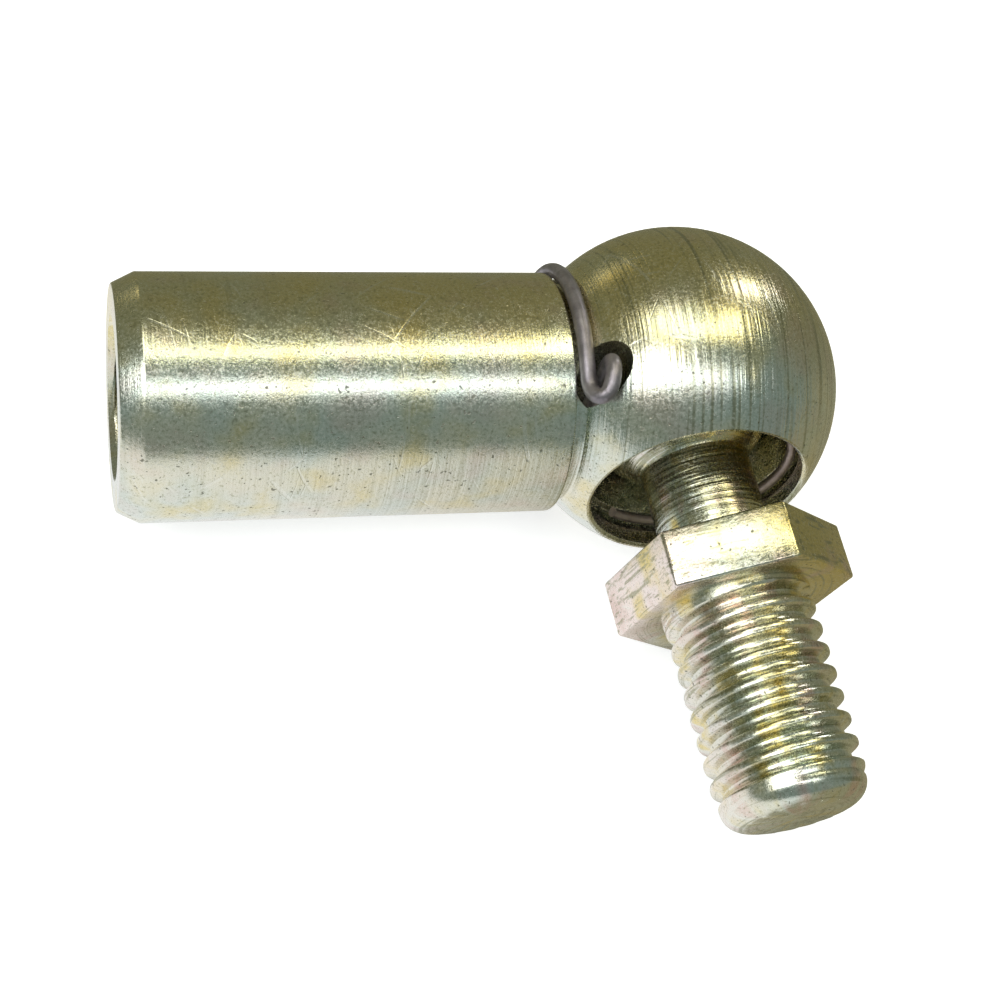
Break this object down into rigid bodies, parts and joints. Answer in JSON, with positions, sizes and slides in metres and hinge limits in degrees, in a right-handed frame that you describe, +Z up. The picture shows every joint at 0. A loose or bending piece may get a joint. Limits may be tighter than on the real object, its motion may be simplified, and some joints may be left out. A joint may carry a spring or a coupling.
{
  "type": "rod end bearing",
  "caption": "Angled ball joint rod end: threaded socket housing, swivelling ball stud with hexagonal collar and thread, retained by a spring ring and a wire safety catch.",
  "frame": {"origin": "centre of the shank's open end face, where the rod screws in", "axes": "+X along the shank from its open end to the ball centre; the stud points to -Y out of the opening, leaning slightly to +X and -Z at rest; +Z up from the side on which the part is laid"},
  "size_m": [0.0397, 0.034, 0.018],
  "materials": {
    "plated_steel": "yellow passivated zinc plating, satin, with turning marks",
    "plated_stud": "yellow passivated zinc plating, satin, iridescent",
    "ring_wire": "bare spring wire, satin",
    "catch_wire": "bare dark spring wire, matt"
  },
  "bodies": {
    "socket": {"socket_housing": "plated_steel", "safety_catch": "catch_wire"},
    "ring": {"spring_ring": "ring_wire"},
    "stud": {"ball_stud": "plated_stud"}
  },
  "joints": [
    {"name": "swivel_direction", "type": "hinge", "parent": "socket", "child": "ring", "pos_m": [0.0306, 0, 0], "axis": [0, 1, 0], "continuous": true},
    {"name": "stud_swivel", "type": "hinge", "parent": "ring", "child": "stud", "pos_m": [0.0306, 0, 0], "axis": [0.7512, 0, 0.66], "range_deg": [-25.7, 10.3]}
  ]
}
